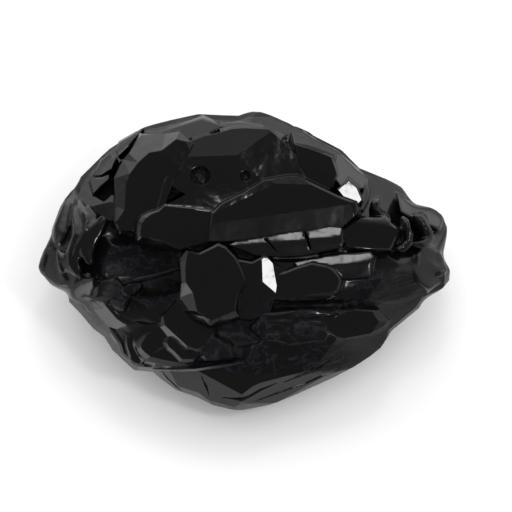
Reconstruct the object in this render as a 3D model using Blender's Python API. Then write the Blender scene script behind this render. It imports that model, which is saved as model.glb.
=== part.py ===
"""Polished obsidian: one palm-sized lump of black volcanic glass, lying on its broad underside.

The stone is drawn on a sheet that faces its show side: u runs to the right, v up the sheet and
w out of it, all in millimetres. The sheet leans back, so the show side looks up and forward.
A pillow-shaped body is lofted from the outline of the stone. Flat polished plates, ledges and
ridges are fused to it, and hollows, cracks and pits are cut into it.
"""

import math
import random

import bmesh
import bpy
import numpy as np
from mathutils import Matrix, Vector
from mathutils.bvhtree import BVHTree

MM = 0.001

# Driving dimensions, in millimetres and degrees
SHEET_LEAN = 30.0        # the show side leans back this far from lying level
CROWN_HEIGHT = 23.0      # body above the rim, on the show side
KEEL_DEPTH = 25.0        # body below the rim, on the underside
RIM_SLANT = -0.245       # the rim sinks this much for each millimetre up the sheet
SHOW_LEAN = 0.08         # turns the crown back toward the viewer
KEEL_LEAN = -0.16        # turns the keel toward the seat
SEAT_CUT = 3.0           # taken off the underside, to lie flat
PLATE_ROOT = 5.0         # how far a plate reaches down into the body
PLATE_FLARE = 0.10       # a plate's wall spreads this much for each millimetre down
CHIP_COUNT = 170         # flat chips all round the body
CHIP_DEPTH = (0.3, 1.0)
RIM_CHIP_DEPTH = 0.35    # most that a chip takes off the outline
CHIP_WOBBLE = 0.10       # each chip's normal is turned by up to this
PLACED_CHIPS = [         # where on the sheet, tilt, which way it faces (0 right, 90 up) and depth
    ((-33.8, 22.4), 55, 138, 0.8), ((-36.3, 17.6), 47, 152, 0.7), ((-28.6, 28), 56, 119, 0.8),
    ((25.5, 22), 52, 58, 0.7), ((17.5, 28.3), 54, 68, 0.7), ((6, 33.5), 56, 84, 0.5),
    ((-14, 33.2), 55, 98, 0.5), ((-46.5, 3), 40, 165, 0.6), ((-43, -5), 44, 205, 0.5),
    ((14, -31.0), 60, -66, 0.4), ((-12.5, -30.4), 58, -112, 0.4), ((45.5, 10), 46, 45, 0.7),
    ((43.5, -8.5), 52, -44, 0.2), ((46, -2), 44, -10, 0.6), ((29.5, -21), 58, -52, 0.4),
    ((-1, 19), 21, 89, 1.4), ((-23, 17), 24, 119, 0.6), ((18, 20), 24, 63, 0.8), ((6, -24), 27, -84, 0.9),
    ((17, -22), 31, -66, 0.9), ((-9, -26), 30, -100, 0.9), ((35, -6.5), 34, -50, 0.9),
]
CHIP_REACH = (50, 36, 26)    # half the body's length, height and thickness, to aim the chips by
STEEP_CHIP = 0.5         # a chip whose normal rises less than this is at the outline
TIP_START = 30           # beyond this u the body tapers, and its chips stay shallow
RIB_SKIRT = 0.4          # how far a ridge's flanks run into the body
RIB_ROOT = 3.0           # how deep a ridge is rooted
RIB_TAPER = 0.35         # a ridge's width and height at its ends
PIT_RISE = 0.3           # how far a gas pit's centre stands over the body
SAMPLE_STEP = 0.4        # between the points a slope is measured with
FLUSH_ANGLE = 0.9        # faces closer to level than this are joined
BENT_ANGLE = 0.05        # faces bent more than this are split before they are fused
SOLVERS = ("EXACT", "MANIFOLD")
LEAST_KEPT = 0.97        # share of the stone that one Boolean may leave at least

SHOW, UNDER = 1, -1      # the stone's two sides

# Share of the way out from the middle, and share of the full height there: the show side comes
# down to the rim at a slant, and the underside leaves it upright
PROFILES = {
    SHOW: [(0.0, 1.0), (0.35, 0.975), (0.56, 0.915), (0.72, 0.8), (0.84, 0.62), (0.915, 0.42),
           (0.965, 0.19), (1.0, 0.0)],
    UNDER: [(0.0, 1.0), (0.35, 0.965), (0.6, 0.86), (0.8, 0.66), (0.92, 0.42), (0.98, 0.2), (1.0, 0.0)],
}

# The stone's outline on the sheet, clockwise from the left tip
OUTLINE = [
    (-50, -1.9), (-49.5, 0.5), (-48, 4), (-46, 8), (-43.9, 12), (-42.5, 14.9), (-39.5, 20), (-38, 22),
    (-33.9, 26.2), (-27.8, 30), (-24.9, 31.9), (-18, 33.9), (-11.5, 35.3), (-5, 35), (-1.4, 34.9),
    (2, 36.1), (5.2, 35.8), (9.9, 33.6), (12, 32.3), (14, 32.2), (16.8, 30), (23.3, 26.7),
    (27.7, 22.2), (34.5, 19.4), (37.8, 17.7), (41.1, 13.5), (42.8, 12.9), (45, 12.9), (47, 12.1),
    (48.4, 10.6), (49.3, 8.1), (49, 5.1), (48.7, 3.1), (48, 1.9), (48.1, 0.5), (49.8, -2.1),
    (50.1, -3.7), (49.5, -5.9), (48, -7), (43.9, -9.3), (42, -11.5), (35.2, -17.1), (34, -19.1),
    (32.9, -21.1), (28.1, -24.9), (24.9, -26.6), (20, -28.9), (12, -32.5), (5.9, -34.8), (1.9, -35.6),
    (-2.4, -36.1), (-6.9, -35), (-11.3, -32.8), (-16.3, -31.1), (-20, -28.4), (-21.8, -26.8),
    (-26.4, -26.4), (-27.7, -25.9), (-31, -22.6), (-33.6, -18.4), (-36.2, -16.5), (-39.2, -13),
    (-42.2, -9.9), (-42.5, -7.9), (-46.2, -6.6), (-48.4, -4.3),
]


# --- the body's surface -------------------------------------------------------------------------


def reach(u, v):
    """How far the outline lies from the middle of the sheet, in the direction of (u, v)."""
    for (au, av), (bu, bv) in zip(OUTLINE, OUTLINE[1:] + OUTLINE[:1]):
        spread = (bu - au) * v - (bv - av) * u
        if abs(spread) < 1e-9:
            continue
        stretch = (au * (bv - av) - av * (bu - au)) / -spread
        share = (au * v - av * u) / -spread
        if stretch > 0 and -1e-9 <= share <= 1 + 1e-9:
            return stretch * math.hypot(u, v)
    raise ValueError("the outline has no point in that direction")


def swell(share, side):
    """The body's height at a share of the way out to the rim, from 1 in the middle to 0."""
    outs, heights = zip(*PROFILES[side])
    return float(np.interp(share, outs, heights))


def pillow(u, v, share, side):
    """The w of the body's surface at a point of the sheet that is this share of the way out."""
    depth, lean = (CROWN_HEIGHT, SHOW_LEAN) if side == SHOW else (-KEEL_DEPTH, KEEL_LEAN)
    return RIM_SLANT * v + (depth + lean * v) * swell(share, side)


def surface(u, v, side=SHOW):
    """The w of the body's surface over a point of the sheet, or under it."""
    far = math.hypot(u, v)
    share = far / reach(u, v) if far > 1e-6 else 0.0
    return pillow(u, v, share, side)


def above(spot, height, side=SHOW):
    """The point that stands a height square off the body's surface at a spot of the sheet."""
    u, v = spot
    step = SAMPLE_STEP
    slope_u = (surface(u + step, v, side) - surface(u - step, v, side)) / (2 * step)
    slope_v = (surface(u, v + step, side) - surface(u, v - step, side)) / (2 * step)
    normal = Vector((-slope_u, -slope_v, 1.0)).normalized() * side
    return Vector((u, v, surface(u, v, side))) + normal * height


# --- modelling helpers --------------------------------------------------------------------------


def new_object(name, bm, collection):
    """An object from a bmesh drawn in millimetres."""
    bmesh.ops.connect_verts_nonplanar(bm, angle_limit=math.radians(BENT_ANGLE), faces=bm.faces)
    bmesh.ops.recalc_face_normals(bm, faces=bm.faces)
    bmesh.ops.scale(bm, vec=(MM, MM, MM), verts=bm.verts)
    mesh = bpy.data.meshes.new(name)
    bm.to_mesh(mesh)
    bm.free()
    piece = bpy.data.objects.new(name, mesh)
    collection.objects.link(piece)
    return piece


def stack(rings):
    """A closed solid through rings of equally many points, with a flat face at each end."""
    bm = bmesh.new()
    loops = [[bm.verts.new(point) for point in ring] for ring in rings]
    for lower, upper in zip(loops, loops[1:]):
        for i in range(len(lower)):
            j = (i + 1) % len(lower)
            bm.faces.new((lower[i], lower[j], upper[j], upper[i]))
    bm.faces.new(loops[0])
    bm.faces.new(loops[-1])
    return bm


def slice_off(bm, point, normal):
    """Cuts away what lies beyond a plane, and closes the cut."""
    everything = bm.verts[:] + bm.edges[:] + bm.faces[:]
    bmesh.ops.bisect_plane(bm, geom=everything, plane_co=point, plane_no=normal, clear_outer=True)
    open_edges = [edge for edge in bm.edges if edge.is_boundary]
    if open_edges:
        bmesh.ops.holes_fill(bm, edges=open_edges, sides=0)


def inward(outline, i):
    """The direction into a clockwise or anticlockwise outline at one of its points."""
    before = Vector(outline[i - 1])
    here = Vector(outline[i])
    after = Vector(outline[(i + 1) % len(outline)])
    along = ((here - before).normalized() + (after - here).normalized()).normalized()
    turned = Vector((-along.y, along.x))
    return turned if area(outline) > 0 else -turned


def area(outline):
    pairs = zip(outline, outline[1:] + outline[:1])
    return 0.5 * sum(au * bv - bu * av for (au, av), (bu, bv) in pairs)


def inset(outline, width):
    """The outline drawn in by a width."""
    return [tuple(Vector(outline[i]) + inward(outline, i) * width) for i in range(len(outline))]


def face_plane(outline, lift, lean, tilt, side):
    """A plate's face, as w = a + b u + c v: laid on the body, eased toward the sheet by lean."""
    rows = np.array([(1.0, u, v) for u, v in outline])
    heights = np.array([surface(u, v, side) for u, v in outline])
    a, b, c = np.linalg.lstsq(rows, heights, rcond=None)[0]
    mid_u, mid_v = rows[:, 1].mean(), rows[:, 2].mean()
    middle = a + b * mid_u + c * mid_v + side * lift
    b = b * lean + side * math.tan(math.radians(tilt[0]))
    c = c * lean + side * math.tan(math.radians(tilt[1]))
    return middle - b * mid_u - c * mid_v, b, c


def plate(outline, lift, face=None, edge=0.45, steep=0.9, lean=0.75, tilt=(0, 0), facets=(), side=SHOW):
    """A flat polished plate with a bevelled rim, rooted in the body.

    face is the outline of its flat top where that is drawn point for point, and otherwise the
    outline drawn in by edge. steep is how far the bevel drops for its width. Each facet is a
    line on the face and an angle: to the left of someone who walks the line, the face falls
    away by that angle.
    """
    top = face or inset(outline, edge)
    a, b, c = face_plane(outline, lift, lean, tilt, side)
    crest = [(u, v, a + b * u + c * v) for u, v in top]
    brow, root = [], []
    for i, (u, v) in enumerate(outline):
        bevel = math.dist(outline[i], top[i]) * steep
        w = a + b * u + c * v - side * bevel
        sunk = min(side * w - 1.0, side * surface(u, v, side) - PLATE_ROOT)
        spread = -inward(outline, i) * PLATE_FLARE * (side * w - sunk)
        brow.append((u, v, w))
        root.append((u + spread.x, v + spread.y, side * sunk))
    bm = stack([root, brow, crest])
    up = Vector((-b, -c, 1.0)).normalized() * side
    for start, end, fall in facets:
        first = Vector((*start, a + b * start[0] + c * start[1]))
        last = Vector((*end, a + b * end[0] + c * end[1]))
        left = up.cross(last - first).normalized() * side
        turn = math.radians(fall)
        slice_off(bm, first, up * math.cos(turn) + left * math.sin(turn))
    return bm


def ridge(path, width, height, crest=0.0, side=SHOW):
    """A sharp rib that follows the body along a path. crest moves its edge to the left or right."""
    rings = []
    for i, (u, v) in enumerate(path):
        before = Vector(path[max(i - 1, 0)])
        after = Vector(path[min(i + 1, len(path) - 1)])
        along = (after - before).normalized()
        left = Vector((-along.y, along.x))
        taper = RIB_TAPER if i in (0, len(path) - 1) else 1.0
        here = Vector((u, v))
        half = left * width * taper / 2
        rings.append([
            above(here + half, -RIB_SKIRT, side),
            above(here + left * crest * taper, height * taper, side),
            above(here - half, -RIB_SKIRT, side),
            above(here, -RIB_ROOT, side),
        ])
    return stack(rings)


def hollow(start, end, width, depth, detail=2, side=SHOW):
    """A smooth scoop along the body from start to end, as the solid that cuts it."""
    bm = bmesh.new()
    bmesh.ops.create_icosphere(bm, subdivisions=detail, radius=1.0)
    first = Vector((*start, surface(*start, side)))
    last = Vector((*end, surface(*end, side)))
    long_way = (last - first).normalized()
    across = Vector((0, 0, side)).cross(long_way).normalized()
    out = long_way.cross(across)
    size = Matrix.Diagonal(((last - first).length / 2, width / 2, depth, 1.0))
    turn = Matrix((long_way, across, out)).transposed().to_4x4()
    bmesh.ops.transform(bm, matrix=Matrix.Translation((first + last) / 2) @ turn @ size, verts=bm.verts)
    return bm


# --- the stone's forms --------------------------------------------------------------------------


def body():
    """The pillow-shaped lump, chipped flat all round."""
    levels = [(share, UNDER) for share, _ in PROFILES[UNDER][1:]]
    levels += [(share, SHOW) for share, _ in PROFILES[SHOW][-2:0:-1]]
    rings = []
    for share, side in levels:
        ring = [(u * share, v * share) for u, v in OUTLINE]
        rings.append([(u, v, pillow(u, v, share, side)) for u, v in ring])
    bm = stack(rings)
    bmesh.ops.recalc_face_normals(bm, faces=bm.faces)
    for normal, depth in chips(BVHTree.FromBMesh(bm)):
        outermost = max(vert.co.dot(normal) for vert in bm.verts)
        slice_off(bm, normal * (outermost - depth), normal)
    for (u, v), tilt, toward, depth in PLACED_CHIPS:
        tilt, toward = math.radians(tilt), math.radians(toward)
        flat = math.sin(tilt)
        normal = Vector((flat * math.cos(toward), flat * math.sin(toward), math.cos(tilt)))
        slice_off(bm, Vector((u, v, surface(u, v))) - normal * depth, normal)
    return bm


def chips(surface_tree):
    """Which way the chips face and how deep they are: evenly spread, each turned a little at random."""
    dice = random.Random(11)
    golden = math.pi * (3 - math.sqrt(5))
    for i in range(CHIP_COUNT):
        height = 1 - 2 * (i + 0.5) / CHIP_COUNT
        around = golden * i + dice.uniform(-0.15, 0.15)
        depth = dice.uniform(*CHIP_DEPTH)
        wobble = Vector([dice.uniform(-CHIP_WOBBLE, CHIP_WOBBLE) for _ in range(3)])
        flat = math.sqrt(1 - height * height)
        toward = (flat * math.cos(around), flat * math.sin(around), height)
        aim = Vector([half * part for half, part in zip(CHIP_REACH, toward)])
        _, normal, _, _ = surface_tree.ray_cast(aim * 3, -aim)
        normal = (normal + wobble).normalized()
        if abs(normal.z) < STEEP_CHIP or (normal.z > 0 and abs(aim.x) > TIP_START):
            depth = min(depth, RIM_CHIP_DEPTH)
        yield normal, depth


def show_plates():
    """The big flat plates of the show side."""
    tall_left = [(-29.9, 6.1), (-31.3, 8.5), (-30.8, 13.1), (-31.2, 19.5), (-29, 24), (-27.6, 25.5),
                 (-24.8, 29.9), (-18.9, 30.3), (-15.4, 30.8), (-12.2, 27.7), (-14, 24.1), (-15.2, 21.1),
                 (-16.5, 19.1), (-18.1, 13.3), (-20, 8)]
    tall_left_face = [(-29.5, 6.8), (-30.6, 9), (-28.5, 12.1), (-28.2, 18.1), (-27.3, 20.6), (-25.3, 23.3),
                      (-22.6, 25.7), (-19.7, 26.1), (-16.5, 28.3), (-12.8, 27.4), (-14.5, 24.2),
                      (-15.7, 21.3), (-17, 19.3), (-18.6, 13.5), (-20.4, 8.4)]
    yield "tallLeft", plate(tall_left, 3.9, tall_left_face, steep=1.2, lean=0.42, facets=[
        ((-19.9, 25.3), (-15.5, 22.5), 8), ((-16.65, 28.1), (-14.8, 25.7), 20)])

    dome = [(-21, 12), (-19.5, 19), (-16.5, 24.6), (-13, 28.3), (-9.6, 29.6), (-7, 30.1), (-3, 31.3),
            (0, 31.5), (5.9, 31.2), (8.7, 28.7), (10.9, 26.6), (12.6, 24.5), (13.1, 22.1), (17, 16),
            (14, 8), (0, 6), (-12, 6)]
    yield "dome", plate(dome, 3.0, edge=0.6, lean=0.55, facets=[
        ((-5.8, 29.3), (-1.6, 24.9), 6), ((-1.6, 25.0), (5.1, 25.2), 10), ((2.6, 31.1), (5.1, 25.2), 8)])

    spearhead = [(-7.8, 11.2), (-5.3, 13.5), (-0.4, 15.9), (4.9, 19), (9.9, 19.9), (12.5, 20), (15.9, 18.4),
                 (22.4, 15.3), (26.6, 13.7), (27.3, 11.5), (24.1, 8.5), (22.2, 7.2), (18.9, 6.6),
                 (13.9, 7.25), (7.9, 6.3), (0, 4.9), (-4, 4.4), (-8.5, 4.4)]
    yield "spearhead", plate(spearhead, 3.9, edge=0.5, lean=0.6, tilt=(0, -3), facets=[
        ((23.4, 13.0), (0, 9.7), 10), ((6.7, 18.2), (13.4, 18.0), 16), ((-5.6, 11.8), (-0.3, 14.4), 10),
        ((25.4, 14), (24.6, 8), 24)])

    left_slab = [(-18.9, 13), (-20.5, 11.9), (-22.5, 11.4), (-24.3, 10.5), (-25.5, 9.1), (-26.1, 7),
                 (-26.1, 5.5), (-25.7, 4.2), (-21.7, 3.3), (-19.9, 2.7), (-16.9, 2.7), (-15.1, 2.4),
                 (-12.1, 3.3), (-8.5, 4), (-7, 4.6), (-7, 11.5), (-8, 12.1), (-12.1, 12.6)]
    left_slab_face = [(-18.7, 12.5), (-20.1, 11.4), (-21.9, 10.8), (-23.3, 9.9), (-24.3, 8.7), (-24.7, 7),
                      (-24.7, 5.8), (-24.4, 5.2), (-21.5, 5.2), (-19.6, 4.9), (-17.3, 3.6), (-15.1, 3.0),
                      (-12.1, 3.8), (-8.7, 4.5), (-7.5, 5), (-7.5, 11.1), (-8.2, 11.6), (-12.1, 12.1)]
    yield "leftSlab", plate(left_slab, 3.0, left_slab_face, steep=1.3, lean=0.6, tilt=(-3, 2), facets=[
        ((-22.3, 10.1), (-15.7, 11.2), 12), ((-9, 6.3), (-18.7, 5.2), 12)])

    centre = [(-13.7, 2.3), (-15.5, 0.1), (-15.1, -2.2), (-14.9, -5.5), (-15.3, -8.9), (-14.9, -12.1),
              (-12.1, -14.5), (-8.1, -16), (-6.1, -15.2), (-2.9, -14.5), (-1.1, -13.7), (-0.5, -8),
              (0.6, -4.9), (-0.6, -1.9), (-1.5, -0.1), (-2.1, 0.9), (-4.3, 3.3), (-6.1, 4.1), (-7.5, 3.3),
              (-10.7, 1.7)]
    centre_face = [(-13.2, 2.0), (-13.7, -0.2), (-13.9, -2.2), (-13.8, -5.2), (-12.1, -7.7), (-11.1, -12.1),
                   (-9.2, -13.4), (-7.8, -14.4), (-5.7, -13.7), (-4, -12.5), (-2.2, -11.9), (-1.6, -8.2),
                   (0.1, -4.9), (-1, -2), (-1.9, -0.3), (-2.5, 0.6), (-4.5, 2.7), (-6.1, 3.4), (-7.3, 2.8),
                   (-10.5, 1.3)]
    yield "centre", plate(centre, 4.3, centre_face, steep=1.2, lean=0.5)
    centre_step = [(-4, -1), (-1.5, 0.2), (1.8, -0.4), (4.6, 1), (5.6, 0.8), (7, -1), (9.8, -2.5),
                   (8, -4.5), (7.4, -8.7), (6.1, -12.1), (1.8, -14), (-1.1, -13.7), (-4, -12)]
    yield "centreStep", plate(centre_step, 3.1, edge=0.5, lean=0.55, facets=[
        ((4.2, 0.8), (4.4, -5.6), 11), ((5.5, 0.6), (6.2, -5.6), 24), ((9.5, -5.9), (2, -4.9), 15)])

    right_slab = [(9.8, -2.6), (12, -1.7), (16, -0.5), (19.9, -1.3), (21.5, -2.2), (23.3, -4.6),
                  (23.1, -5.6), (22.3, -7.7), (18.7, -9.3), (12, -9.6), (5, -9.5), (4, -4)]
    right_slab_face = [(9.8, -3.2), (12, -2.3), (15.8, -1.1), (19.7, -1.9), (21, -2.7), (22.7, -4.8),
                       (22.5, -5.6), (21.5, -7.2), (18, -7.7), (12, -8.6), (5.6, -9), (4.5, -4.3)]
    yield "rightSlab", plate(right_slab, 2.4, right_slab_face, lean=0.6)

    right_shelf = [(23.5, 5.2), (22.2, 7.2), (24.3, 8.1), (26.1, 9.3), (28.7, 10.2), (33.3, 10.1),
                   (34.7, 9), (37.4, 7.2), (35.9, 4.1), (34.8, 2.3), (30, 2.2), (27, 2.4), (23.8, 3)]
    yield "rightShelf", plate(right_shelf, 1.8, edge=0.5, lean=0.7, facets=[
        ((26.1, 8.9), (34.5, 8.2), 16)])

    lower_right = [(23.9, -11.8), (26.1, -11.5), (32, -11.9), (34.4, -14.4), (33.3, -15.7), (30.1, -17.5),
                   (24.1, -18.6), (22.1, -18.5), (19.3, -17.2), (19.2, -16), (20.1, -14), (21.7, -12.6)]
    yield "lowerRight", plate(lower_right, 1.8, edge=0.6, lean=0.6, facets=[
        ((30.6, -13.3), (22, -16.9), 9), ((30, -11), (31.4, -14.3), 26), ((32.2, -13.8), (28.7, -17.5), 24)])


def rim_plates():
    """Flat slabs and facets between the big plates and the rim."""
    top_ridge = [(-21.3, 30.3), (-17.9, 31.7), (-14, 32.9), (-10.2, 34.1), (-8, 33.4), (-5, 32),
                 (-6.8, 31), (-11.2, 28.6), (-15.4, 29.5)]
    yield "topRidge", plate(top_ridge, 2.2, edge=0.4, lean=0.38)
    top_band = [(-6, 33), (0, 33.2), (4.5, 32.4), (10, 30), (8, 28), (0, 30), (-6, 30.5)]
    yield "topBand", plate(top_band, 0.9, edge=0.3, lean=0.8)
    upper_right = [(12, 27.8), (16.5, 26.3), (20.8, 24.6), (22.2, 20.5), (21.4, 17.4), (18, 15), (14, 16),
                   (12.9, 22)]
    yield "upperRight", plate(upper_right, 2.4, edge=0.5, lean=0.35, facets=[((14, 25), (19.6, 20.5), 9)])
    upper_facet = [(11.4, 30.8), (14.1, 31), (17, 29), (22.6, 26), (21.5, 22.5), (12.5, 25.5)]
    yield "upperFacet", plate(upper_facet, 1.0, edge=0.3, lean=0.95)
    pentagon = [(20.9, 25.6), (22.9, 25.7), (27.3, 21.4), (29.8, 19.6), (29.6, 17.2), (24, 16.5),
                (21.6, 19.5)]
    yield "pentagon", plate(pentagon, 1.0, edge=0.3, lean=0.95)
    bright_chip = [(24.9, 19.2), (22, 16.8), (23.4, 14.9), (26.9, 12.9), (28.3, 14.3), (27, 17.4)]
    yield "brightChip", plate(bright_chip, 4.3, edge=0.3, lean=0.0, tilt=(-11.5, -3.4))
    corner = [(28.9, 18.2), (29.9, 17), (29.8, 14.6), (28.4, 11.4), (27.2, 12), (28, 14.6)]
    yield "corner", plate(corner, 1.4, edge=0.4, lean=0.7)

    left_slab_top = [(-34.6, 24), (-32.2, 25.8), (-30.9, 24.4), (-32, 21.6), (-34.1, 20.2), (-36.2, 20.2)]
    yield "leftSlabTop", plate(left_slab_top, 0.6, edge=0.3, lean=1.0, tilt=(3, 2))
    left_slab_low = [(-37, 18.6), (-36, 19.8), (-34, 19.8), (-32.4, 20.8), (-32.2, 19.2), (-34.2, 17.6),
                     (-36.2, 15.6)]
    yield "leftSlabLow", plate(left_slab_low, 0.6, edge=0.3, lean=0.9, tilt=(-2, 4))
    rim_slab = [(-30.8, 26.4), (-30, 28.4), (-26.2, 30.5), (-24.4, 31.6), (-26.4, 29.4), (-27.8, 27.4),
                (-30.2, 25)]
    yield "rimSlab", plate(rim_slab, 0.7, edge=0.3, lean=0.95, tilt=(3, -3))
    right_cap = [(36.6, 16.2), (41, 12.8), (45, 12.4), (48, 10), (46.8, 7), (42, 9), (37.5, 11)]
    yield "rightCap", plate(right_cap, 0.6, edge=0.5, lean=0.9)
    tip_cheek = [(40.5, 1.8), (43.5, 3.6), (47, 2.6), (47.4, -1), (48.2, -4.5), (44, -7.6), (41, -5),
                 (39.6, -1)]
    yield "tipCheek", plate(tip_cheek, 0.4, edge=0.5, lean=0.8, facets=[((46, 3), (45.5, -6), 14)])
    left_knob = [(-42.2, -7.7), (-40, -5), (-38, -3.8), (-35.6, -4.1), (-35.6, -6.5), (-37, -9.5),
                 (-38.6, -10.6), (-41.4, -9.2)]
    yield "leftKnob", plate(left_knob, 0.9, edge=0.6, lean=0.8)
    knob_ledge = [(-36.2, -5), (-37.3, -7), (-39, -9), (-37.4, -12), (-34.6, -14.2), (-31.5, -15.8),
                  (-29, -15.5), (-27, -8), (-31, -4)]
    knob_face = [(-34.8, -5.6), (-35, -7.9), (-36.2, -10), (-34.8, -11.2), (-32.6, -11.8), (-30.7, -13.6),
                 (-29.2, -14.6), (-28, -8.4), (-31, -4.9)]
    yield "knobLedge", plate(knob_ledge, 0.9, knob_face, steep=0.8, lean=0.8)
    oval = [(-29.2, -6.8), (-27.6, -5.7), (-25, -5.3), (-24.1, -6), (-25, -7.3), (-27.4, -8.7), (-28.8, -8)]
    yield "oval", plate(oval, 0.7, edge=0.4, lean=1.0)


def terraces():
    """Overlapping ledges, lower left and across the middle."""
    lowest = [(-24.1, -17.7), (-25.8, -20), (-25.8, -21.4), (-24.9, -22.6), (-23.5, -23.8), (-20.5, -24.8),
              (-15.9, -25.4), (-12, -25), (-6, -23.4), (-12, -18), (-20, -14.5)]
    lowest_face = [(-23.4, -18), (-24.6, -20), (-24.5, -21.2), (-23.7, -22), (-22.4, -22.9), (-19.6, -23.6),
                   (-15.9, -24.3), (-12.6, -24.2), (-7, -22.9), (-12, -18.8), (-19.8, -15.4)]
    yield "lowestTerrace", plate(lowest, 1.0, lowest_face, lean=0.75)
    second = [(-19.2, -19.6), (-18.3, -21.2), (-17.1, -22.2), (-15.1, -24.2), (-12, -24.2), (-8, -21),
              (-10, -16), (-17, -15)]
    yield "secondTerrace", plate(second, 1.5, edge=0.8, steep=1.5, lean=0.5, tilt=(-3, -7))
    third = [(-10.8, -21.2), (-10.3, -23), (-9.3, -23.9), (-7.5, -23.9), (-2.7, -23.8), (-1.9, -23.1),
             (-2.5, -20), (-8, -17)]
    yield "thirdTerrace", plate(third, 0.9, edge=0.8, steep=1.5, lean=0.5, tilt=(-3, -7))
    top_terrace = [(-19.7, -13.4), (-19.9, -15.9), (-18.1, -18.2), (-16.5, -19.8), (-13.9, -21.4),
                   (-11, -21.9), (-8.5, -20.9), (-6.4, -17), (-6, -12), (-16, -9)]
    top_terrace_face = [(-19.2, -13.2), (-18.8, -15.4), (-16.9, -17.2), (-15.2, -18.7), (-13.5, -20.3),
                        (-11.2, -21.0), (-9.0, -20.2), (-7.1, -16.8), (-6.8, -12.4), (-16, -9.8)]
    yield "topTerrace", plate(top_terrace, 1.6, top_terrace_face, steep=1.5, lean=0.4, tilt=(-5, -9))

    upper_band = [(-4, 3.6), (0, 5.5), (10, 8), (18.9, 8), (23, 7.6), (23.6, 4.6), (23.3, 3),
                  (14, 1.0), (8.6, 0.8), (3, 1)]
    yield "upperBand", plate(upper_band, 2.5, edge=0.4, lean=0.7, facets=[
        ((23, 3.9), (4, 2.4), 10), ((0, 3.6), (22, 5.4), 14)])
    middle_band = [(12, -0.6), (16.3, 0.2), (20, 1.1), (24, 1.5), (30, 1.9), (31, 0.8), (30.2, -1),
                   (30.1, -3.9), (27, -4.2), (20, -4.5), (14, -4)]
    yield "middleBand", plate(middle_band, 1.9, edge=0.4, lean=0.7, tilt=(3.5, 0), facets=[
        ((30.5, -2.4), (16, -2.2), 8), ((14, -1.8), (30.5, -0.4), 17)])
    lower_band = [(4, -13), (12, -12.1), (20, -11.5), (23.7, -11.9), (22, -15), (19, -19), (11, -20),
                  (4, -18.6), (1.5, -16)]
    yield "lowerBand", plate(lower_band, 0.6, edge=0.4, lean=1.0, facets=[
        ((22, -13.2), (6, -14), 10)])


def ribs():
    """Flow ridges that follow the body at both ends."""
    yield "outerSwirl", ridge([(-41, 17), (-42.5, 13.5), (-43.6, 10.5), (-44.8, 7), (-45.4, 4)],
                              4.2, 0.8, 1.0)
    yield "longSwirl", ridge([(-40.2, 14.9), (-40.2, 12.5), (-39.8, 9.5), (-39.7, 6), (-40.6, 3),
                              (-41.2, 0), (-40.6, -2.5), (-39.4, -4.4)], 4.4, 1.2, 1.2)
    yield "innerSwirl", ridge([(-37.6, 13.6), (-36.9, 10.5), (-37.1, 8), (-38, 5), (-39.2, 2.6)],
                              3.4, 1.0, -0.6)
    yield "nearSwirl", ridge([(-33.4, 10.4), (-35.4, 7.4), (-36.9, 4.6), (-37.7, 1.8), (-37, -1.4)],
                             3.6, 1.3, -1.0)
    yield "tipSwirl", ridge([(-45, 3), (-44.4, 0.8), (-43.7, -1.5), (-43.2, -3.6)], 3.2, 0.8, 0.9)
    yield "outerFold", ridge([(-32, -16), (-30.5, -17.5), (-29, -19.5), (-28.3, -22), (-26, -24),
                              (-22, -25.2)], 2.2, 0.9, -0.4)
    yield "innerFold", ridge([(-28.8, -16.6), (-27.4, -18), (-27.2, -20.6), (-26.4, -22.8), (-24, -24.6)],
                             1.8, 0.9, -0.3)
    yield "lowRib", ridge([(-22, -26), (-17, -26), (-12, -25.8), (-6, -25), (0, -24.2)], 1.8, 0.7, 0.3)
    yield "valleyRib", ridge([(-29.4, -5.6), (-26, -4.7), (-22, -3.9), (-15.4, -2)], 1.3, 0.5, 0.2)
    yield "fin", ridge([(32.2, 15.1), (30.9, 13.3), (31.4, 11.6), (33, 10.4), (34.8, 9.2)], 1.8, 2.0, 0.3)
    yield "rightFold", ridge([(37.4, 10.8), (38.7, 9.2), (39.3, 7), (39.3, 4.6), (38.2, 3), (36, 2.6)],
                             2.6, 1.3, -0.4)
    yield "bentFold", ridge([(40.2, 11.2), (42.2, 10.4), (43.2, 7.7), (44.4, 5.2), (42.4, 3.8), (40.1, 3.6)],
                            2.4, 1.3, -0.4)
    yield "tipFold", ridge([(45.5, 1.6), (46.8, 0.2), (47.6, -1.6), (46.9, -4)], 1.8, 0.8, -0.3)
    yield "lowBandRib", ridge([(10, -13.2), (14, -12.7), (18, -12.4), (21, -12.3), (23.6, -12.6)],
                              2.6, 1.6, -0.6)
    yield "lowBandFold", ridge([(12, -16), (15, -15.6), (18, -15.6), (20, -16.2)], 2.2, 1.1, -0.4)


def hollows():
    """What is scooped out of the body before the plates are added."""
    yield "valley", hollow((-37, -0.5), (-10, -2.5), 15, 5.5, detail=3)
    yield "upperValley", hollow((-36, 8.5), (-22, 4), 7, 4.0)
    yield "slabGap", hollow((-33.2, 10), (-30.5, 23), 2.6, 1.0)
    yield "lowerGap", hollow((4, -11), (28, -10.6), 3.0, 1.8)
    yield "underCentre", hollow((-9, -17.5), (6, -17), 8, 2.2)
    yield "lowerValley", hollow((-33, -10), (-14, -12), 9, 1.8)
    yield "bandGap", hollow((3, 0.4), (34, 1.8), 3.0, 2.0)
    yield "finHollow", hollow((30, 13.5), (38, 9), 5, 2.6)
    yield "topGap", hollow((-22, 32.4), (10, 33), 2.2, 1.4)


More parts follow.
